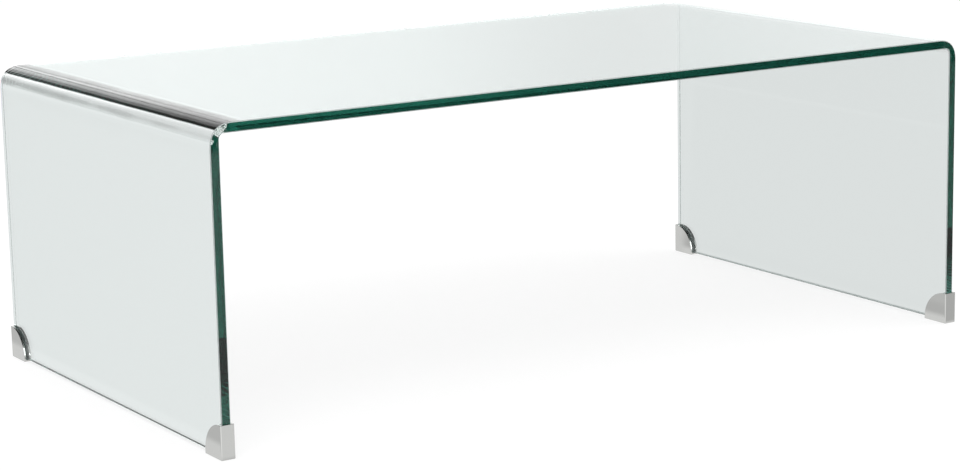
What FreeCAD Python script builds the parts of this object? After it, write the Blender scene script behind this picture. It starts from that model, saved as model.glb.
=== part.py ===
import FreeCAD, Part
import os

# Waterfall coffee table: one bent glass sheet whose ends are its legs, standing in four metal
# corner shoes. Millimetres. X runs along the length, Y from the front to the rear and Z up.
# The origin is the middle of the footprint, on the floor.

# Glass sheet
TABLE_LENGTH = 1100.0       # outer face of one end panel to the outer face of the other
TABLE_DEPTH = 600.0         # long edge to long edge of the glass
TABLE_HEIGHT = 385.0        # floor to the upper face
GLASS_THICKNESS = 12.0
BEND_OUTER_RADIUS = 25.0
BEND_INNER_RADIUS = 7.5     # less than concentric, so the glass is thinner round the bend
EDGE_ARRIS = 1.1            # flat ground on every edge of the sheet

# Corner shoe
SHOE_WALL = 2.5             # cheeks, end wall and base
SHOE_LENGTH = 41.0          # from the end wall's outer face, along the glass
SHOE_HEIGHT = 41.0          # from the underside of the base
SHOE_CORNER_ROUND = 1.5     # the two upright edges of the end wall
SHOE_RIM_FLAT = 0.5         # small flat on every other outer edge

# Soft liner between glass and shoe
LINER_THICKNESS = 0.5
LINER_SETBACK = 1.5         # how far it stays inside the rim of the shoe

# Anti-slip pad let into the underside of the shoe
PAD_THICKNESS = 2.0
PAD_STAND_OFF = 1.0         # how far it lifts the shoe off the floor
PAD_WIDTH = 12.0
PAD_LENGTH = 30.0
PAD_CORNER = 3.0
PAD_CLEARANCE = 0.2         # all round, in its recess

# Levels and places that follow
SHOE_FOOT = PAD_STAND_OFF
GLASS_FOOT = SHOE_FOOT + SHOE_WALL + LINER_THICKNESS
HALF_LENGTH = TABLE_LENGTH / 2
HALF_DEPTH = TABLE_DEPTH / 2
LEG_MIDDLE = HALF_LENGTH - GLASS_THICKNESS / 2
LINER_FRONT = -LINER_THICKNESS
SHOE_FRONT = LINER_FRONT - SHOE_WALL
SLOT_WIDTH = GLASS_THICKNESS + 2 * LINER_THICKNESS
SHOE_WIDTH = SLOT_WIDTH + 2 * SHOE_WALL
# Quarter round of both cheeks: nearly the whole of their shorter side. Where a shoe is as long as
# it is high, its centre is the lower corner of the glass.
CHEEK_RADIUS = min(SHOE_LENGTH, SHOE_HEIGHT) - SHOE_WALL - LINER_THICKNESS

ENDS = {"left": -1, "right": 1}
SIDES = {"front": 1, "rear": -1}

X_AXIS = FreeCAD.Vector(1, 0, 0)
Z_AXIS = FreeCAD.Vector(0, 0, 1)
ROUGH = 1e-4                # tolerance for telling how an edge lies


def line(start, end):
    return Part.LineSegment(start, end).toShape()


def quarter_arc(start, centre, end):
    """Quarter circle from start to end about centre."""
    radius = (start - centre).Length
    outward = (start - centre) + (end - centre)
    middle = centre + outward * (radius / outward.Length)
    return Part.Arc(start, middle, end).toShape()


def uprights(shape):
    """The vertical edges."""
    return [e for e in shape.Edges if abs(e.tangentAt(e.FirstParameter).dot(Z_AXIS)) > 1 - ROUGH]


def normal_at(face, point):
    return face.normalAt(*face.Surface.parameter(point))


def sharp_edges(shape):
    """The edges where two faces meet at an angle, without the ones where they run on smoothly."""
    found = []
    for edge in shape.Edges:
        middle = edge.valueAt((edge.FirstParameter + edge.LastParameter) / 2)
        first, second = shape.ancestorsOfType(edge, Part.Face)
        if normal_at(first, middle).dot(normal_at(second, middle)) < 1 - ROUGH:
            found.append(edge)
    return found


def waterfall_line(half_length, top, radius):
    """One face of the sheet, seen from the front: up one leg, over the top and down the other."""
    shoulder = top - radius
    corner = half_length - radius

    def point(x, z):
        return FreeCAD.Vector(x, -HALF_DEPTH, z)

    return [
        line(point(-half_length, GLASS_FOOT), point(-half_length, shoulder)),
        quarter_arc(point(-half_length, shoulder), point(-corner, shoulder), point(-corner, top)),
        line(point(-corner, top), point(corner, top)),
        quarter_arc(point(corner, top), point(corner, shoulder), point(half_length, shoulder)),
        line(point(half_length, shoulder), point(half_length, GLASS_FOOT)),
    ]


def glass_sheet():
    """The bent sheet: its profile drawn out over the depth, then ground along every edge."""
    inner_half = HALF_LENGTH - GLASS_THICKNESS
    outer = waterfall_line(HALF_LENGTH, TABLE_HEIGHT, BEND_OUTER_RADIUS)
    inner = waterfall_line(inner_half, TABLE_HEIGHT - GLASS_THICKNESS, BEND_INNER_RADIUS)
    feet = [
        line(
            FreeCAD.Vector(end * HALF_LENGTH, -HALF_DEPTH, GLASS_FOOT),
            FreeCAD.Vector(end * inner_half, -HALF_DEPTH, GLASS_FOOT),
        )
        for end in ENDS.values()
    ]
    profile = Part.Wire(Part.sortEdges(outer + inner + feet)[0])
    sheet = Part.Face(profile).extrude(FreeCAD.Vector(0, TABLE_DEPTH, 0))
    return sheet.makeChamfer(EDGE_ARRIS, sharp_edges(sheet))


# A shoe and what goes with it are drawn at a front corner: the leg's mid plane is X = 0, the
# upright glass edge is at Y = 0, and the glass runs on towards +Y.


def quarter_round_block(width, front, foot, back, top, radius):
    """Block whose upper back corner is a quarter round, centred on the leg's mid plane."""

    def point(y, z):
        return FreeCAD.Vector(-width / 2, y, z)

    outline = [
        line(point(front, foot), point(back, foot)),
        line(point(back, foot), point(back, top - radius)),
        quarter_arc(
            point(back, top - radius), point(back - radius, top - radius), point(back - radius, top)
        ),
        line(point(back - radius, top), point(front, top)),
        line(point(front, top), point(front, foot)),
    ]
    return Part.Face(Part.Wire(outline)).extrude(X_AXIS * width)


def pad_block(gap, foot, height):
    """Upright block with the pad's outline, larger all round by the gap."""
    width = PAD_WIDTH + 2 * gap
    length = PAD_LENGTH + 2 * gap
    front = SHOE_FRONT + SHOE_LENGTH / 2 - length / 2
    block = Part.makeBox(width, length, height, FreeCAD.Vector(-width / 2, front, foot))
    return block.makeFillet(PAD_CORNER + gap, uprights(block))


def shoe():
    """Die-cast corner cap: a rounded block, slotted for the glass and its liner."""
    back = SHOE_FRONT + SHOE_LENGTH
    top = SHOE_FOOT + SHOE_HEIGHT
    block = quarter_round_block(SHOE_WIDTH, SHOE_FRONT, SHOE_FOOT, back, top, CHEEK_RADIUS)
    front_uprights = [e for e in uprights(block) if e.CenterOfMass.y < SHOE_FRONT + ROUGH]
    block = block.makeFillet(SHOE_CORNER_ROUND, front_uprights)
    block = block.makeChamfer(SHOE_RIM_FLAT, sharp_edges(block))
    slot = Part.makeBox(
        SLOT_WIDTH,
        SHOE_LENGTH,
        SHOE_HEIGHT,
        FreeCAD.Vector(-SLOT_WIDTH / 2, LINER_FRONT, SHOE_FOOT + SHOE_WALL),
    )
    recess = pad_block(PAD_CLEARANCE, SHOE_FOOT, PAD_THICKNESS - PAD_STAND_OFF)
    return block.cut(slot).cut(recess)


def liner():
    """Soft channel that fills the slot round the glass and stays inside the shoe's rim."""
    block = quarter_round_block(
        SLOT_WIDTH,
        LINER_FRONT,
        SHOE_FOOT + SHOE_WALL,
        SHOE_FRONT + SHOE_LENGTH - LINER_SETBACK,
        SHOE_FOOT + SHOE_HEIGHT - LINER_SETBACK,
        CHEEK_RADIUS - LINER_SETBACK,
    )
    glass = Part.makeBox(
        GLASS_THICKNESS,
        SHOE_LENGTH,
        SHOE_HEIGHT,
        FreeCAD.Vector(-GLASS_THICKNESS / 2, 0, GLASS_FOOT),
    )
    return block.cut(glass)


def foot_pad():
    return pad_block(0, 0, PAD_THICKNESS)


def at_corner(shape, end, side):
    """The shape moved to a corner of the table, turned over front to rear where it is behind."""
    placed = shape.copy()
    if side < 0:
        placed = placed.mirror(FreeCAD.Vector(0, 0, 0), FreeCAD.Vector(0, 1, 0))
    placed.translate(FreeCAD.Vector(end * LEG_MIDDLE, -side * HALF_DEPTH, 0))
    return placed


def save(shape, name):
    if not shape.isValid() or not shape.Solids:
        raise ValueError(name + " is not a valid solid")
    shape.exportStep("parts/" + name + ".step")


os.makedirs("parts", exist_ok=True)
save(glass_sheet(), "glass_sheet")
CORNER_PIECES = {"shoe": shoe(), "liner": liner(), "foot_pad": foot_pad()}
for side_name, side in SIDES.items():
    for end_name, end in ENDS.items():
        for piece_name, piece in CORNER_PIECES.items():
            save(at_corner(piece, end, side), f"{piece_name}_{side_name}_{end_name}")
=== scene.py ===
"""Waterfall coffee table: one bent glass sheet standing in four polished metal corner shoes.

Metres. X runs along the length, Y from the front to the rear and Z up; the origin is the middle of
the footprint, on the floor.
"""

import math

import bmesh
import bpy
from mathutils import Matrix, Vector


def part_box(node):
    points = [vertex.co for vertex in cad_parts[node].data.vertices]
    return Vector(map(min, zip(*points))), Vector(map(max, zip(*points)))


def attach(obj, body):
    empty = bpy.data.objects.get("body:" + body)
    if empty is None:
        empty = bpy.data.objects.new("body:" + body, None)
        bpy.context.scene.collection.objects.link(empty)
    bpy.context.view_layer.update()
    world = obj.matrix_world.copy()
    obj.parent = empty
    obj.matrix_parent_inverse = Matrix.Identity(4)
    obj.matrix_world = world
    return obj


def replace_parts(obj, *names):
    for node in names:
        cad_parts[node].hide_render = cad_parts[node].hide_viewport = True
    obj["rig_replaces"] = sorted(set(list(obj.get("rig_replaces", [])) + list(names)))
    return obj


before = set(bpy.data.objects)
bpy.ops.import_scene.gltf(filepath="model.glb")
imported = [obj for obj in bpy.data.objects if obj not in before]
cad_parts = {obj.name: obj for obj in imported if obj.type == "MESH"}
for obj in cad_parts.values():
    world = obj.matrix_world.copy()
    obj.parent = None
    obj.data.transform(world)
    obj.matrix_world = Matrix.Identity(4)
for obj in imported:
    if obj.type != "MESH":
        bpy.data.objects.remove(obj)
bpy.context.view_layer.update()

bl_info = {
    "name": "Waterfall coffee table",
    "version": (1, 0, 0),
    "blender": (4, 5, 0),
    "location": "3D View > Sidebar > Table",
    "description": "Builds a bent glass coffee table with metal corner shoes",
    "category": "Add Mesh",
}

MM = 0.001
HALF_TURN = math.radians(180)
TOUCH = 0.02 * MM           # tolerance for telling where a face or an edge lies
WELD = 0.001 * MM           # points closer than this become one
ALIGNED = 0.999             # directions whose cosine is above this count as the same
FLAT = math.radians(0.5)    # edges that turn less than this lie inside a flat face
FOLD = math.radians(30)     # edges that turn more than this are sharp
LARGEST_FACES = 100         # weight at which the largest faces alone set the shading
SENSOR_WIDTH = 36.0         # millimetres
WHITE = (1.0, 1.0, 1.0)

GLASS_LOW, GLASS_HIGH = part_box("glass_sheet")
SHOE_LOW, SHOE_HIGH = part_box("shoe_front_left")
LINER_LOW, LINER_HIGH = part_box("liner_front_left")
PAD_LOW, PAD_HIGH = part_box("foot_pad_front_left")


# Sizes and colours


def length(name, description, default):
    """A length in metres."""
    return bpy.props.FloatProperty(
        name=name, description=description, default=default, min=0.0, precision=5, unit="LENGTH"
    )


def angle(name, description, default):
    """An angle, given in degrees and kept in radians."""
    return bpy.props.FloatProperty(
        name=name, description=description, default=math.radians(default), unit="ROTATION"
    )


def amount(name, description, default):
    """A number with no unit."""
    return bpy.props.FloatProperty(name=name, description=description, default=default, min=0.0)


def span(name, description, default):
    """A least and a greatest number."""
    return bpy.props.FloatVectorProperty(
        name=name, description=description, default=default, min=0.0, size=2
    )


def whole(name, description, default):
    """A count of at least one."""
    return bpy.props.IntProperty(name=name, description=description, default=default, min=1)


def colour(name, description, default):
    """Red, green and blue."""
    return bpy.props.FloatVectorProperty(
        name=name,
        description=description,
        default=default,
        min=0.0,
        max=1.0,
        size=3,
        subtype="COLOR",
    )


class GlassSettings(bpy.types.PropertyGroup):
    """Sizes and finish of the bent sheet."""

    thickness: length("Thickness", "Thickness of the glass", 12 * MM)
    outer_radius: length("Outer radius", "Outer face's radius half-way round a bend", 25 * MM)
    outer_reach: length("Outer reach", "From the corner to where the outer face bends", 30 * MM)
    inner_radius: length("Inner radius", "Inner face's radius half-way round a bend", 6.3 * MM)
    inner_reach: length("Inner reach", "From the corner to where the inner face bends", 12 * MM)
    bend_steps: whole("Bend steps", "Facets in each bend", 72)
    arris: length("Arris", "Width of the flat ground on every edge", 1.1 * MM)
    arris_haze: amount("Arris haze", "How much light the ground flats scatter", 0.95)
    # Painted shade: the left leg's foot arris keeps less of the pale haze than the right leg's, so
    # its line reads darker
    left_haze_painted_shade: amount("Left haze", "Share of that haze under the left leg", 0.25)
    ground: colour("Ground glass", "Colour of the ground flats", (0.93, 0.97, 0.96))
    wave_height: length("Wave height", "Height of the slow waves at the bends", 0.9 * MM)
    bulge: amount("Bulge", "Slope of the front edge's face round a bend", 0.18)
    bulge_radius: length("Bulge radius", "From a bend's centre to where the bulge is nil", 18 * MM)
    bulge_lead: length("Bulge lead", "How far before a bend the bulge sets in", 2 * MM)
    bulge_rise: length("Bulge rise", "Length over which the bulge comes up", 10 * MM)
    tint: colour("Tint", "Colour of light that has gone through the glass", (0.27, 0.61, 0.55))
    tint_density: amount("Tint density", "How fast the glass takes on its tint, per metre", 10.0)
    ior: amount("Index of refraction", "Index of refraction of soda-lime glass", 1.5)


class ShoeSettings(bpy.types.PropertyGroup):
    """Sizes and finish of the corner shoes."""

    wall: length("Wall", "Thickness of the cheeks, end wall and base", 2.5 * MM)
    quarter_round: length("Quarter round", "Radius of the upper corner of both cheeks", 38 * MM)
    round_steps: whole("Round steps", "Facets in the quarter round", 32)
    corner_round: length("Corner round", "Radius of the upright edges of the end wall", 1.5 * MM)
    corner_steps: whole("Corner steps", "Facets in each upright edge", 6)
    rim_round: length("Rim round", "Radius of every other edge", 0.5 * MM)
    rim_steps: whole("Rim steps", "Facets in every other edge", 3)
    recess_gap: length("Recess gap", "Room all round the foot pad", 0.2 * MM)
    recess_depth: length("Recess depth", "How far the foot pad is let in", 1 * MM)
    metal: colour("Metal", "Colour of the plated metal", (0.645, 0.65, 0.635))
    roughness: span("Roughness", "Where the plate is clear and where it is hazy", (0.05, 0.11))
    casting: length("Casting", "Height of the waves that the casting left", 0.02 * MM)


class LinerSettings(bpy.types.PropertyGroup):
    """Sizes and finish of the soft liners between glass and metal."""

    thickness: length("Thickness", "Room between glass and metal, which the liner fills", 0.5 * MM)
    gap: length("Gap", "Air between the liner and its neighbours", 0.03 * MM)
    quarter_round: length("Quarter round", "Radius of the upper corner of both cheeks", 36.5 * MM)
    plastic: colour("Plastic", "Colour of the soft vinyl", (0.86, 0.88, 0.87))
    roughness: span("Roughness", "Where the vinyl is clear and where it is cloudy", (0.22, 0.38))
    clearness: amount("Clearness", "Share of the light that goes through", 0.2)
    ior: amount("Index of refraction", "Index of refraction of soft vinyl", 1.5)


class PadSettings(bpy.types.PropertyGroup):
    """Sizes and finish of the foot pads."""

    corner: length("Corner", "Radius of the upright edges", 3 * MM)
    corner_steps: whole("Corner steps", "Facets in each upright edge", 6)
    rim_round: length("Rim round", "Radius of the lower rim", 0.3 * MM)
    rim_steps: whole("Rim steps", "Facets in the lower rim", 2)
    border: length("Border", "Plain border round the grooves", 1.5 * MM)
    grooves: whole("Grooves", "Grooves across the underside", 7)
    groove_depth: length("Groove depth", "Depth of the grooves", 0.4 * MM)
    rubber: colour("Rubber", "Colour of the rubber", (0.36, 0.37, 0.36))
    dust: amount("Dust", "How much paler the rubber is under its dust", 0.1)
    roughness: span("Roughness", "In the grain's hollows and on its crests", (0.75, 0.92))
    grain: length("Grain", "Height of the moulded grain", 0.05 * MM)
    ior: amount("Index of refraction", "Index of refraction of rubber", 1.52)


class StageSettings(bpy.types.PropertyGroup):
    """Floor, studio and camera."""

    floor_size: length("Floor size", "Side of the floor", 80.0)
    floor_glow: amount("Floor glow", "Level of the floor's glowing share, to the camera", 1.28)
    floor_share: amount("Glowing share", "The rest is matt, and keeps the shadow", 0.65)
    floor_matt: colour("Matt floor", "Colour of the floor's matt share", (0.82, 0.82, 0.82))
    # Painted shade: the far floor, seen in metal and glass, keeps only this share of its level
    dark_floor: amount("Dark floor", "Share of its level that the far floor keeps", 0.05)
    ceiling: amount("Ceiling", "Share of the walls' level that the ceiling keeps", 0.03)
    key_foot: amount("Key foot", "Level of the key light's foot, mirrored", 13.0)
    key_panel: amount("Key panel", "Level of the whole key light, through glass", 2.5)
    plain: amount("Plain light", "Level of the studio to matt surfaces", 0.5)
    camera_place: bpy.props.FloatVectorProperty(
        name="Camera place",
        description="Where the camera stands",
        default=(-1.818, -2.860, 0.835),
        size=3,
        subtype="TRANSLATION",
        unit="LENGTH",
    )
    camera_yaw: angle("Camera yaw", "Turn of the camera from +Y towards +X", 32.29)
    camera_pitch: angle("Camera pitch", "Downward tilt of the camera", 11.55)
    camera_roll: angle("Camera roll", "Turn of the camera about its own axis", -1.21)
    lens: amount("Lens", "Focal length in millimetres on a 36 mm sensor", 97.99)


# Shader maths


class Shade:
    """A shader socket that can be worked with in plain Python."""

    def __init__(self, tree, socket=None):
        self.tree = tree
        self.socket = socket

    def node(self, kind, settings=None, inputs=None, output=0):
        """Adds a node: its settings first, then the value or the link of each input."""
        made = self.tree.nodes.new(kind)
        for name, value in (settings or {}).items():
            setattr(made, name, value)
        for name, value in (inputs or {}).items():
            if isinstance(value, Shade):
                self.tree.links.new(value.socket, made.inputs[name])
            else:
                made.inputs[name].default_value = value
        return Shade(self.tree, made.outputs[output] if made.outputs else None)

    def other(self, output):
        """Another output of the same node."""
        return Shade(self.tree, self.socket.node.outputs[output])

    def axes(self):
        """The X, Y and Z of this vector."""
        x = self.node("ShaderNodeSeparateXYZ", inputs={0: self})
        return x, x.other(1), x.other(2)

    def noise(self, scale, detail, roughness=0.5):
        """Noise at this place, between 0 and 1."""
        return self.node(
            "ShaderNodeTexNoise",
            inputs={"Vector": self, "Scale": scale, "Detail": detail, "Roughness": roughness},
        )

    def relief(self, distance, strength=1.0):
        """Normals of a surface that this value, times the distance, raises."""
        return self.node(
            "ShaderNodeBump", inputs={"Strength": strength, "Distance": distance, "Height": self}
        )

    def maths(self, operation, *values):
        """What an operation makes of these values."""
        return self.node("ShaderNodeMath", {"operation": operation}, dict(enumerate(values)))

    def __add__(self, value):
        return self.maths("ADD", self, value)

    __radd__ = __add__

    def __sub__(self, value):
        return self.maths("SUBTRACT", self, value)

    def __rsub__(self, value):
        return self.maths("SUBTRACT", value, self)

    def __neg__(self):
        return 0 - self

    def __mul__(self, value):
        return self.maths("MULTIPLY", self, value)

    __rmul__ = __mul__

    def __pow__(self, value):
        return self.maths("POWER", self, value)

    def __abs__(self):
        return self.maths("ABSOLUTE", self)

    def larger(self, value):
        """This value or the other one, whichever is larger."""
        return self.maths("MAXIMUM", self, value)

    def step(self, low, high, start=0.0, end=1.0):
        """Goes smoothly from start to end as this value goes from low to high."""
        return self.node(
            "ShaderNodeMapRange",
            {"interpolation_type": "SMOOTHSTEP"},
            {0: self, 1: low, 2: high, 3: start, 4: end},
        )

    def band(self, low, high, blur):
        """1 while this value lies between low and high, and 0 outside."""
        return self.step(low, low + blur) - self.step(high - blur, high)

    def levels(self, first, *stops):
        """Starts at the first level; each stop (low, high, level) moves it on smoothly."""
        total, before = first, first
        for low, high, level in stops:
            total = total + self.step(low, high, 0.0, level - before)
            before = level
        return total

    def blend(self, other, share):
        """This value with a share of the other one in its place."""
        return self + (other - self) * share


def new_material(name):
    """An empty material and the start of its shader maths."""
    material = bpy.data.materials.new(name)
    material.use_nodes = True
    material.node_tree.nodes.clear()
    return material, Shade(material.node_tree)


def rgba(rgb):
    return (*rgb, 1.0)


def glass_material(glass):
    """Clear float glass: polished, pale on the ground arrises, faintly wavy at the bends."""
    material, start = new_material("bent_float_glass")
    place = start.node("ShaderNodeTexCoord", output="Object")
    x, y, z = place.axes()
    side, long_edge, top, foot_edge = GLASS_HIGH.x, GLASS_HIGH.y, GLASS_HIGH.z, GLASS_LOW.z
    radius = glass.outer_radius

    # Only the arrises lie between the large faces and the flat of an edge
    blur = 2 * TOUCH
    along = abs(y).band(long_edge - glass.arris, long_edge, blur)
    below = z.band(foot_edge, foot_edge + glass.arris, blur)
    # Painted shade: under the left leg the foot arris keeps less of the pale haze, so its line
    # reads darker
    below = below * x.step(-TOUCH, TOUCH, glass.left_haze_painted_shade, 1.0)
    grinding = place.noise(scale=900.0, detail=2.0).step(0.3, 0.7, 0.8, 1.2)
    ground = along.larger(below) * grinding

    # Slow waves, only near the bends
    bend = abs(x).step(side - 2 * radius, side - radius)
    bend = bend * z.step(top - 3 * radius, top - radius)
    waves = place.noise(scale=9.0, detail=1.0, roughness=0.4) * bend * glass.wave_height

    # Round the bends the front edge bulges on the side where the glass is squeezed
    sideways = abs(x) - (side - radius)
    upwards = z - (top - radius)
    reach = (sideways * sideways + upwards * upwards) ** 0.5
    rise = (-glass.bulge_lead, glass.bulge_rise - glass.bulge_lead)
    front = (-y).step(long_edge - 2 * TOUCH, long_edge - TOUCH)
    squeezed = sideways.step(*rise) * upwards.step(*rise) * front
    bulge = (glass.bulge_radius - reach) * squeezed * glass.bulge

    polished = start.node(
        "ShaderNodeBsdfPrincipled",
        inputs={
            "Base Color": rgba(WHITE),
            "Roughness": 0.0,
            "IOR": glass.ior,
            "Transmission Weight": 1.0,
            "Normal": (waves + bulge).relief(distance=1.0),
        },
    )
    # Ground glass throws back half of the light that it scatters, and lets the other half on
    matt = start.node("ShaderNodeBsdfDiffuse", inputs={"Color": rgba(glass.ground)})
    milky = start.node("ShaderNodeBsdfTranslucent", inputs={"Color": rgba(glass.ground)})
    hazy = start.node("ShaderNodeMixShader", inputs={0: 0.5, 1: matt, 2: milky})
    surface = start.node(
        "ShaderNodeMixShader", inputs={0: ground * glass.arris_haze, 1: polished, 2: hazy}
    )
    volume = start.node(
        "ShaderNodeVolumeAbsorption",
        inputs={"Color": rgba(glass.tint), "Density": glass.tint_density},
    )
    start.node("ShaderNodeOutputMaterial", inputs={"Surface": surface, "Volume": volume})
    return material


def metal_material(shoe):
    """Polished chrome plate over die-cast metal: a faint haze and the last waves of the casting."""
    material, start = new_material("polished_chrome")
    place = start.node("ShaderNodeTexCoord", output="Object")
    haze = place.noise(scale=55.0, detail=4.0, roughness=0.55)
    casting = place.noise(scale=70.0, detail=1.0, roughness=0.4)
    surface = start.node(
        "ShaderNodeBsdfPrincipled",
        inputs={
            "Base Color": rgba(shoe.metal),
            "Metallic": 1.0,
            "Roughness": haze.step(0.3, 0.75, *shoe.roughness),
            "Normal": casting.relief(shoe.casting),
        },
    )
    start.node("ShaderNodeOutputMaterial", inputs={"Surface": surface})
    return material


def vinyl_material(liner):
    """Clear soft vinyl, a little cloudy."""
    material, start = new_material("soft_vinyl")
    place = start.node("ShaderNodeTexCoord", output="Object")
    cloud = place.noise(scale=160.0, detail=3.0)
    surface = start.node(
        "ShaderNodeBsdfPrincipled",
        inputs={
            "Base Color": rgba(liner.plastic),
            "Roughness": cloud.step(0.3, 0.7, *liner.roughness),
            "IOR": liner.ior,
            "Transmission Weight": liner.clearness,
        },
    )
    start.node("ShaderNodeOutputMaterial", inputs={"Surface": surface})
    return material


def rubber_material(pad):
    """Matt rubber with a fine moulded grain."""
    material, start = new_material("anti_slip_rubber")
    place = start.node("ShaderNodeTexCoord", output="Object")
    grain = place.noise(scale=1800.0, detail=2.0, roughness=0.6)
    dust = place.noise(scale=240.0, detail=4.0)
    dusty = [level + pad.dust for level in pad.rubber]
    tone = start.node(
        "ShaderNodeMix",
        {"data_type": "RGBA"},
        {0: dust.step(0.35, 0.75), 6: rgba(pad.rubber), 7: rgba(dusty)},
        output=2,
    )
    surface = start.node(
        "ShaderNodeBsdfPrincipled",
        inputs={
            "Base Color": tone,
            "Roughness": grain.step(0.3, 0.7, *pad.roughness),
            "IOR": pad.ior,
            "Normal": grain.relief(pad.grain, strength=0.6),
        },
    )
    start.node("ShaderNodeOutputMaterial", inputs={"Surface": surface})
    return material


# Modelling


def block(name, low, high):
    """Starts a piece as a block between two corners, and goes into edit mode on it."""
    low, high = Vector(low), Vector(high)
    centre = (low + high) / 2
    bpy.ops.object.select_all(action="DESELECT")
    bpy.ops.mesh.primitive_cube_add(size=1, location=centre)
    piece = bpy.context.active_object
    piece.name = piece.data.name = name
    bpy.ops.object.transform_apply(location=True, rotation=True, scale=True)
    bpy.ops.object.mode_set(mode="EDIT")
    bpy.ops.mesh.select_all(action="SELECT")
    bpy.ops.transform.resize(value=high - low, center_override=centre)
    return piece


def choose(piece, kind, test):
    """Selects the faces or the edges that pass the test, and nothing else."""
    shape = bmesh.from_edit_mesh(piece.data)
    shape.normal_update()
    for group in (shape.verts, shape.edges, shape.faces):
        for part in group:
            part.select = False
    chosen = [part for part in getattr(shape, kind) if test(part)]
    if not chosen:
        raise RuntimeError(f"nothing to select on {piece.name}")
    for part in chosen:
        part.select_set(True)
    bmesh.update_edit_mesh(piece.data)


def choose_faces(piece, test):
    bpy.ops.mesh.select_mode(type="FACE")
    choose(piece, "faces", test)


def choose_edges(piece, test):
    bpy.ops.mesh.select_mode(type="EDGE")
    choose(piece, "edges", test)


def middle(part):
    """Middle of an edge or a face."""
    return sum((v.co for v in part.verts), Vector()) / len(part.verts)


def points(face, x=0, y=0, z=0):
    """True if the face looks that way."""
    return face.normal.dot(Vector((x, y, z))) > ALIGNED


def runs(edge, axis):
    """True if the edge is parallel to the axis, 0 for X, 1 for Y and 2 for Z."""
    way = (edge.verts[1].co - edge.verts[0].co).normalized()
    return abs(way[axis]) > ALIGNED


def pull(x=0.0, y=0.0, z=0.0):
    """Extrudes what is selected."""
    bpy.ops.mesh.extrude_region_move(TRANSFORM_OT_translate={"value": (x, y, z)})


def cut(piece, test, place, normal):
    """Cuts the faces that pass the test along a plane."""
    choose_faces(piece, test)
    bpy.ops.mesh.bisect(plane_co=place, plane_no=normal)


def round_edges(width, steps, profile=0.5):
    """Bevels the selected edges; at a profile of 0.5 they become plain arcs."""
    bpy.ops.mesh.bevel(
        offset=width, offset_type="OFFSET", segments=steps, profile=profile, affect="EDGES"
    )


def easing_profile(radius, reach):
    """Bevel profile that sets in at the reach and meets the radius' plain arc half-way round."""
    return (1 - radius * (1 - math.sqrt(0.5)) / reach) ** 2


def join_flats():
    """Makes one face of the faces that lie in one plane."""
    bpy.ops.mesh.select_all(action="SELECT")
    bpy.ops.mesh.dissolve_limited(angle_limit=FLAT)


def close_mesh():
    """Joins the points that coincide and turns every face outward."""
    bpy.ops.mesh.select_all(action="SELECT")
    bpy.ops.mesh.remove_doubles(threshold=WELD)
    bpy.ops.mesh.normals_make_consistent(inside=False)


def finish_piece(piece, material, slot, *nodes):
    """Closes the mesh, smooths it and hands the piece over in place of the CAD nodes."""
    close_mesh()
    bpy.ops.object.mode_set(mode="OBJECT")
    bpy.ops.object.shade_smooth_by_angle(angle=FOLD)
    piece.data.materials.append(material)
    hand_over(piece, slot, *nodes)


def hand_over(piece, slot, *nodes):
    """The piece rides on the table and stands for the CAD nodes."""
    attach(piece, "root")
    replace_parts(piece, *nodes)


def weigh_normals(piece):
    """Lets the large flat faces set the shading, so that the small rounds don't bend them."""
    modifier = piece.modifiers.new("weighted_normal", "WEIGHTED_NORMAL")
    modifier.keep_sharp = True
    modifier.weight = LARGEST_FACES
    bpy.ops.object.modifier_apply(modifier=modifier.name)


def copy_to(piece, name, turned, shift):
    """A copy with its own mesh, turned half round the table's middle if asked, then moved in X."""
    bpy.ops.object.select_all(action="DESELECT")
    piece.select_set(True)
    bpy.context.view_layer.objects.active = piece
    bpy.ops.object.duplicate(linked=False)
    made = bpy.context.active_object
    made.name = made.data.name = name
    if turned:
        bpy.ops.transform.rotate(value=HALF_TURN, orient_axis="Z", center_override=(0, 0, 0))
    bpy.ops.transform.translate(value=(shift, 0, 0))
    bpy.ops.object.transform_apply(location=True, rotation=True, scale=True)
    return made


def at_corners(first, kind, slot):
    """Copies the front left piece to the other three corners."""
    between_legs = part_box(f"{kind}_front_right")[0].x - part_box(f"{kind}_front_left")[0].x
    corners = {
        "front_right": (False, between_legs),
        "rear_right": (True, 0.0),
        "rear_left": (True, -between_legs),
    }
    for corner, (turned, shift) in corners.items():
        made = copy_to(first, f"{first.name.removesuffix('front_left')}{corner}", turned, shift)
        hand_over(made, slot, f"{kind}_{corner}")
        # The copy came with the first piece's node, which it doesn't stand for
        made["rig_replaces"] = [f"{kind}_{corner}"]


def slotted_cap(name, low, high, wall, radius, steps):
    """Starts a cap for a glass corner: base, end wall and two cheeks that are round at the back."""
    floor = low.z + wall
    slot_low, slot_high, slot_end = low.x + wall, high.x - wall, low.y + wall
    piece = block(name, low, (high.x, high.y, floor))

    def is_base(face):
        return points(face, z=1) and middle(face).z > floor - TOUCH

    def is_wall(face):
        at = middle(face)
        return is_base(face) and (at.x < slot_low or at.x > slot_high or at.y < slot_end)

    def is_upper_back(edge):
        at = middle(edge)
        return runs(edge, 0) and at.z > high.z - TOUCH and at.y > high.y - TOUCH

    cut(piece, is_base, (slot_low, 0, 0), (1, 0, 0))
    cut(piece, is_base, (slot_high, 0, 0), (1, 0, 0))
    cut(piece, is_base, (0, slot_end, 0), (0, 1, 0))
    choose_faces(piece, is_wall)
    pull(z=high.z - floor)
    close_mesh()
    choose_edges(piece, is_upper_back)
    round_edges(radius, steps)
    return piece


# Pieces


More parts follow.
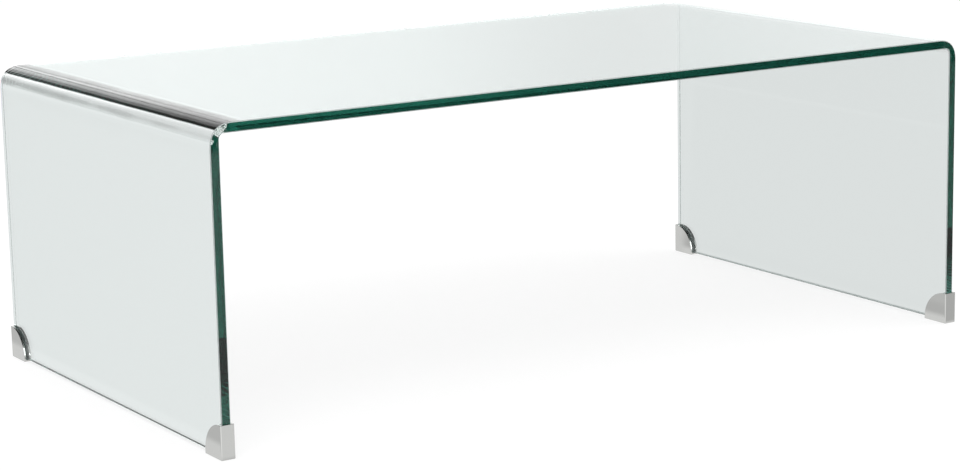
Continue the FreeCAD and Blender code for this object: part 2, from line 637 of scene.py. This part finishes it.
class TABLE_OT_glass_sheet(bpy.types.Operator):
    """Draws the foot of one leg up, round the first bend, over the top and down the other leg"""

    bl_idname = "table.glass_sheet"
    bl_label = "Glass sheet"

    def execute(self, context):
        glass = context.scene.table_glass
        low, high = GLASS_LOW, GLASS_HIGH
        inner_top = high.z - glass.thickness
        inner_side = high.x - glass.thickness

        # Square bridge: one leg, the top with both corners, the other leg
        piece = block("bent_glass", low, (-inner_side, high.y, inner_top))
        choose_faces(piece, lambda f: points(f, z=1))
        pull(z=glass.thickness)
        choose_faces(piece, lambda f: points(f, x=1) and middle(f).z > inner_top)
        pull(x=2 * inner_side)
        pull(x=glass.thickness)
        choose_faces(piece, lambda f: points(f, z=-1) and middle(f).x > inner_side)
        pull(z=low.z - inner_top)
        join_flats()

        # The two bends, outside and inside, then the ground arris on every edge of the sheet
        for x, z, radius, reach in (
            (high.x, high.z, glass.outer_radius, glass.outer_reach),
            (inner_side, inner_top, glass.inner_radius, glass.inner_reach),
        ):
            choose_edges(
                piece,
                lambda e: runs(e, 1)
                and abs(abs(middle(e).x) - x) < TOUCH
                and abs(middle(e).z - z) < TOUCH,
            )
            round_edges(reach, glass.bend_steps, easing_profile(radius, reach))
        choose_edges(piece, lambda e: e.calc_face_angle() > FOLD)
        round_edges(glass.arris, 1)
        finish_piece(piece, glass_material(glass), "glass", "glass_sheet")
        weigh_normals(piece)
        return {"FINISHED"}


class TABLE_OT_corner_shoes(bpy.types.Operator):
    """Makes one cast corner shoe and copies it to the other corners"""

    bl_idname = "table.corner_shoes"
    bl_label = "Corner shoes"

    def execute(self, context):
        shoe = context.scene.table_shoe
        low, high = SHOE_LOW, SHOE_HIGH
        mid_x, mid_y = (low.x + high.x) / 2, (low.y + high.y) / 2
        piece = slotted_cap(
            "corner_shoe_front_left", low, high, shoe.wall, shoe.quarter_round, shoe.round_steps
        )

        # Recess for the foot pad
        margin = PAD_LOW.x - shoe.recess_gap - low.x
        recess_width = PAD_HIGH.x - PAD_LOW.x + 2 * shoe.recess_gap
        recess_length = PAD_HIGH.y - PAD_LOW.y + 2 * shoe.recess_gap
        choose_faces(piece, lambda f: points(f, z=-1))
        bpy.ops.mesh.inset(thickness=margin)
        bpy.ops.transform.resize(
            value=(1, recess_length / (high.y - low.y - 2 * margin), 1),
            center_override=(mid_x, mid_y, low.z),
        )
        pull(z=shoe.recess_depth)
        choose_edges(
            piece,
            lambda e: runs(e, 2)
            and middle(e).z < low.z + shoe.recess_depth
            and abs(middle(e).x - mid_x) < recess_width / 2 + TOUCH,
        )
        round_edges(context.scene.table_pad.corner + shoe.recess_gap, shoe.corner_steps)

        # Upright corners of the end wall, then a small round on every other outer edge
        choose_edges(
            piece,
            lambda e: runs(e, 2)
            and middle(e).y < low.y + TOUCH
            and abs(middle(e).x - mid_x) > (high.x - low.x) / 2 - TOUCH,
        )
        round_edges(shoe.corner_round, shoe.corner_steps)
        join_flats()
        choose_edges(piece, lambda e: e.calc_face_angle_signed() > FOLD)
        round_edges(shoe.rim_round, shoe.rim_steps)

        finish_piece(piece, metal_material(shoe), "shoe_metal", "shoe_front_left")
        weigh_normals(piece)
        at_corners(piece, "shoe", "shoe_metal")
        return {"FINISHED"}


class TABLE_OT_liners(bpy.types.Operator):
    """Makes one soft liner between glass and metal and copies it to the other corners"""

    bl_idname = "table.liners"
    bl_label = "Liners"

    def execute(self, context):
        liner = context.scene.table_liner
        gap = liner.gap
        piece = slotted_cap(
            "soft_liner_front_left",
            LINER_LOW + Vector((gap, gap, gap)),
            LINER_HIGH - Vector((gap, 0, 0)),
            liner.thickness - 2 * gap,
            liner.quarter_round,
            context.scene.table_shoe.round_steps,
        )
        finish_piece(piece, vinyl_material(liner), "liner_plastic", "liner_front_left")
        weigh_normals(piece)
        at_corners(piece, "liner", "liner_plastic")
        return {"FINISHED"}


class TABLE_OT_foot_pads(bpy.types.Operator):
    """Makes one grooved anti-slip pad and copies it to the other corners"""

    bl_idname = "table.foot_pads"
    bl_label = "Foot pads"

    def execute(self, context):
        pad = context.scene.table_pad
        low, high = PAD_LOW, PAD_HIGH
        mid_x = (low.x + high.x) / 2
        inner_half = (high.x - low.x) / 2 - pad.border
        inner_low, inner_high = low.y + pad.border, high.y - pad.border
        strips = 2 * pad.grooves + 1
        strip = (inner_high - inner_low) / strips

        def is_strip(face):
            at = middle(face)
            inner = inner_low < at.y < inner_high
            return inner and abs(at.x - mid_x) < pad.border and points(face, z=-1)

        def is_groove(face):
            return is_strip(face) and int((middle(face).y - inner_low) / strip) % 2 == 1

        def in_border(edge):
            at = middle(edge)
            inner = inner_low - TOUCH < at.y < inner_high + TOUCH
            return not (inner and abs(at.x - mid_x) < inner_half + TOUCH)

        piece = block("rubber_pad_front_left", low, high)
        choose_edges(piece, lambda e: runs(e, 2))
        round_edges(pad.corner, pad.corner_steps)
        choose_faces(piece, lambda f: points(f, z=-1))
        bpy.ops.mesh.inset(thickness=pad.border)

        # Grooves: the underside is cut into strips, and every other strip is pushed in
        for number in range(1, strips):
            cut(piece, is_strip, (0, inner_low + number * strip, 0), (0, 1, 0))
        choose_faces(piece, is_groove)
        pull(z=pad.groove_depth)
        choose_edges(
            piece,
            lambda e: middle(e).z < low.z + TOUCH and e.calc_face_angle() > FOLD and in_border(e),
        )
        round_edges(pad.rim_round, pad.rim_steps)
        finish_piece(piece, rubber_material(pad), "pad_rubber", "foot_pad_front_left")
        at_corners(piece, "foot_pad", "pad_rubber")
        return {"FINISHED"}


# Stage

GLASS_BOUNCES = 64
MATT_BOUNCES = 4

LAMP_SIZE = 3.0
LAMPS = {                                   # place, and power in watts
    "key": ((-2.2, -2.4, 3.4), 60.0),
    "fill": ((2.6, -1.2, 3.0), 30.0),
    "back": ((0.4, 3.2, 3.0), 25.0),
}

# Levels of the studio, where 1 is white. A table starts with a level, and each row after it (from,
# to, level) goes smoothly over to the next one. From and to are places along X on the floor, and
# the X of the ray's direction on the walls. The lines after the tables (from, to) are alike.

# Painted light and shade on the floor, which only metal and glass see: lighter and darker strips
# beside the legs, in front of the table, behind the glass and past a slanting line at the rear
# right
FLOOR_PAINTED_BESIDE = (
    0.66,
    (-0.592, -0.578, 0.86),
    (-0.56, -0.54, 0.70),
    (0.44, 0.47, 0.64),
    (0.49, 0.515, 0.90),
)
FLOOR_PAINTED_IN_FRONT = (
    1.15,
    (-0.57, -0.55, 0.87),
    (0.30, 0.40, 1.10),
    (0.53, 0.54, 0.60),
    (0.80, 1.75, 0.45),
)
FLOOR_PAINTED_THROUGH_GLASS = (0.87, (0.30, 0.60, 0.785))
FLOOR_PAINTED_CORNER = 0.86                         # rear right, past the slanting line
CORNER_SLANT = 1.3                          # how fast that line comes forward to the right
CORNER_LINE = (0.966, 0.99)                 # Y, where it crosses the middle of the length
FRONT_LINE = (-0.32, -0.305)                # Y, just in front of the table
DARK_LINE = (-2.25, -1.95)                  # Y, where the floor runs into the dark

WALL = (                                    # pale wall, dark screen, pale wall
    0.8,
    (-0.70, -0.50, 0.03),
    (-0.04, 0.03, 1.0),
    (0.42, 0.56, 0.87),
    (0.57, 0.66, 1.03),
)
WINDOW = (                                  # strip light before the screen, window with two bars
    0.8,
    (-0.70, -0.50, 0.03),
    (-0.32, -0.28, 0.70),
    (-0.26, -0.235, 2.00),
    (-0.17, -0.145, 0.17),
    (-0.04, 0.03, 0.85),
    (0.03, 0.09, 1.00),
    (0.095, 0.10, 0.50),
    (0.11, 0.115, 1.05),
    (0.12, 0.20, 1.45),
    (0.283, 0.29, 0.50),
    (0.304, 0.311, 1.50),
    (0.33, 0.38, 1.65),
    (0.42, 0.45, 1.0),
)
WALL_THROUGH_GLASS = (0.85, (0.20, 0.40, 1.40), (0.50, 0.58, 0.83), (0.58, 0.67, 0.63))
FRONT_WALL = (0.8, (0.64, 0.74, 0.15))
FRONT_WALL_THROUGH_GLASS = 0.8
WINDOW_SILL = (0.15, 0.22)                  # Z, from the wall up to the window
WINDOW_GLARE = (0.88, 0.915, 0.85, 1.3)     # Y and levels: the window is brighter straight ahead
TURN_TO_FRONT = (-0.2, 0.1)                 # Y, from the front wall to the rear one
CEILING_LINE = (0.45, 0.7)                  # Z
KEY_FOOT = ((0.08, 0.34, 0.03), (0.015, 0.15, 0.015))   # X and Z, each from, to and blur
KEY_PANEL = ((0.26, 0.66, 0.03), (0.02, 0.50, 0.02))
KEY_LINE = (-0.5, -0.3)                     # Y, behind which there is no key light


class TABLE_OT_stage(bpy.types.Operator):
    """Sets up the floor, the studio light and the camera"""

    bl_idname = "table.stage"
    bl_label = "Stage"

    def execute(self, context):
        scene = context.scene
        stage = scene.table_stage
        make_floor(stage)
        make_world(scene, stage)
        make_lamps(scene)
        make_camera(scene, stage)
        scene.view_settings.view_transform = "Standard"
        scene.cycles.max_bounces = GLASS_BOUNCES
        scene.cycles.transmission_bounces = GLASS_BOUNCES
        scene.cycles.glossy_bounces = GLASS_BOUNCES
        scene.cycles.diffuse_bounces = MATT_BOUNCES
        return {"FINISHED"}


def seen_rays(start):
    """1 for rays from the camera, 1 for mirrored rays and 1 for rays that came through glass."""
    camera = start.node("ShaderNodeLightPath", output="Is Camera Ray")
    through = camera.other("Is Transmission Ray")
    return camera, camera.other("Is Glossy Ray") * (1 - through), through


def make_floor(stage):
    """White to the camera, with the table's shadow; to metal and glass it glows with painted light
    and shade.
    """
    bpy.ops.object.select_all(action="DESELECT")
    bpy.ops.mesh.primitive_plane_add(size=stage.floor_size, location=(0, 0, 0))
    floor = bpy.context.active_object
    floor.name = floor.data.name = "studio_floor"

    material, start = new_material("studio_floor")
    camera, mirrored, through = seen_rays(start)
    x, y, _ = start.node("ShaderNodeTexCoord", output="Object").axes()
    # Painted light and shade: to mirrored rays and rays through glass the floor glows at these
    # levels, and far in front of the table it goes dark
    corner = (y + x * CORNER_SLANT).step(*CORNER_LINE)
    beside = x.levels(*FLOOR_PAINTED_BESIDE).blend(FLOOR_PAINTED_CORNER, corner)
    in_front = y.step(*FRONT_LINE, 1.0, 0.0)
    near = beside.blend(x.levels(*FLOOR_PAINTED_IN_FRONT), in_front)
    painted_reflection = y.step(*DARK_LINE, stage.dark_floor, 1.0) * near
    behind = x.levels(*FLOOR_PAINTED_THROUGH_GLASS)
    glow = camera * stage.floor_glow + mirrored * painted_reflection + through * behind
    light = start.node("ShaderNodeEmission", inputs={"Color": rgba(WHITE), "Strength": glow})
    matt = start.node("ShaderNodeBsdfDiffuse", inputs={"Color": rgba(stage.floor_matt)})
    share = camera * stage.floor_share + mirrored + through
    surface = start.node("ShaderNodeMixShader", inputs={0: share, 1: matt, 2: light})
    start.node("ShaderNodeOutputMaterial", inputs={"Surface": surface})
    floor.data.materials.append(material)


def make_world(scene, stage):
    """White to the camera; walls, window, ceiling and key light to metal and glass; else plain."""
    world = bpy.data.worlds.new("studio")
    world.use_nodes = True
    world.node_tree.nodes.clear()
    scene.world = world
    start = Shade(world.node_tree)
    camera, mirrored, through = seen_rays(start)
    x, y, z = start.node("ShaderNodeTexCoord", output="Generated").axes()

    window = x.levels(*WINDOW) * y.step(*WINDOW_GLARE)
    rear = mirrored * x.levels(*WALL).blend(window, z.step(*WINDOW_SILL))
    rear = rear + through * x.levels(*WALL_THROUGH_GLASS)
    front = mirrored * x.levels(*FRONT_WALL) + through * FRONT_WALL_THROUGH_GLASS
    walls = rear.blend(front, y.step(*TURN_TO_FRONT, 1.0, 0.0))

    # Key light in front: the bulge of the bends mirrors its foot, and the far shoes' rims mirror
    # the whole of it through the glass
    foot = mirrored * x.band(*KEY_FOOT[0]) * z.band(*KEY_FOOT[1]) * stage.key_foot
    panel = through * x.band(*KEY_PANEL[0]) * z.band(*KEY_PANEL[1]) * stage.key_panel
    key = (foot + panel) * y.step(*KEY_LINE, 1.0, 0.0)

    studio = walls * z.step(*CEILING_LINE, 1.0, stage.ceiling) + key
    plain = stage.plain * (1 - mirrored - through)
    strength = camera + (1 - camera) * (studio + plain)
    light = start.node("ShaderNodeBackground", inputs={"Color": rgba(WHITE), "Strength": strength})
    start.node("ShaderNodeOutputWorld", inputs={"Surface": light})


def make_lamps(scene):
    """Three soft lamps that only matt surfaces see."""
    for name, (place, power) in LAMPS.items():
        data = bpy.data.lights.new(f"{name}_lamp", "AREA")
        data.shape = "SQUARE"
        data.size = LAMP_SIZE
        data.energy = power
        lamp = bpy.data.objects.new(f"{name}_lamp", data)
        lamp.location = place
        lamp.rotation_euler = (-Vector(place)).to_track_quat("-Z", "Y").to_euler()
        lamp.visible_camera = lamp.visible_glossy = lamp.visible_transmission = False
        scene.collection.objects.link(lamp)


def make_camera(scene, stage):
    """A camera turned to the right of +Y, tilted down and rolled."""
    yaw, pitch, roll = stage.camera_yaw, stage.camera_pitch, stage.camera_roll
    forward = Vector(
        (math.sin(yaw) * math.cos(pitch), math.cos(yaw) * math.cos(pitch), -math.sin(pitch))
    )
    level = Vector((math.cos(yaw), -math.sin(yaw), 0.0))
    upright = level.cross(forward)
    right = math.cos(roll) * level + math.sin(roll) * upright
    up = -math.sin(roll) * level + math.cos(roll) * upright
    data = bpy.data.cameras.new("camera")
    data.lens = stage.lens
    data.sensor_width = SENSOR_WIDTH
    camera = bpy.data.objects.new("camera", data)
    turn = Matrix((right, up, -forward)).transposed().to_4x4()
    camera.matrix_world = Matrix.Translation(stage.camera_place) @ turn
    scene.collection.objects.link(camera)
    scene.camera = camera


# Sidebar and registration

SETTINGS = {
    "table_glass": GlassSettings,
    "table_shoe": ShoeSettings,
    "table_liner": LinerSettings,
    "table_pad": PadSettings,
    "table_stage": StageSettings,
}
OPERATORS = (
    TABLE_OT_glass_sheet,
    TABLE_OT_corner_shoes,
    TABLE_OT_liners,
    TABLE_OT_foot_pads,
    TABLE_OT_stage,
)


class TABLE_PT_sidebar(bpy.types.Panel):
    """Settings and buttons for each group of pieces"""

    bl_label = "Waterfall coffee table"
    bl_idname = "TABLE_PT_sidebar"
    bl_space_type = "VIEW_3D"
    bl_region_type = "UI"
    bl_category = "Table"

    def draw(self, context):
        for (name, group), operator in zip(SETTINGS.items(), OPERATORS):
            box = self.layout.box()
            for key in group.__annotations__:
                box.prop(getattr(context.scene, name), key)
            box.operator(operator.bl_idname)


CLASSES = (*SETTINGS.values(), *OPERATORS, TABLE_PT_sidebar)


def register():
    for each in CLASSES:
        bpy.utils.register_class(each)
    for name, group in SETTINGS.items():
        setattr(bpy.types.Scene, name, bpy.props.PointerProperty(type=group))


def unregister():
    for name in SETTINGS:
        delattr(bpy.types.Scene, name)
    for each in reversed(CLASSES):
        bpy.utils.unregister_class(each)


def main():
    register()
    bpy.ops.table.glass_sheet()
    bpy.ops.table.corner_shoes()
    bpy.ops.table.liners()
    bpy.ops.table.foot_pads()
    bpy.ops.table.stage()


if __name__ == "__main__":
    main()
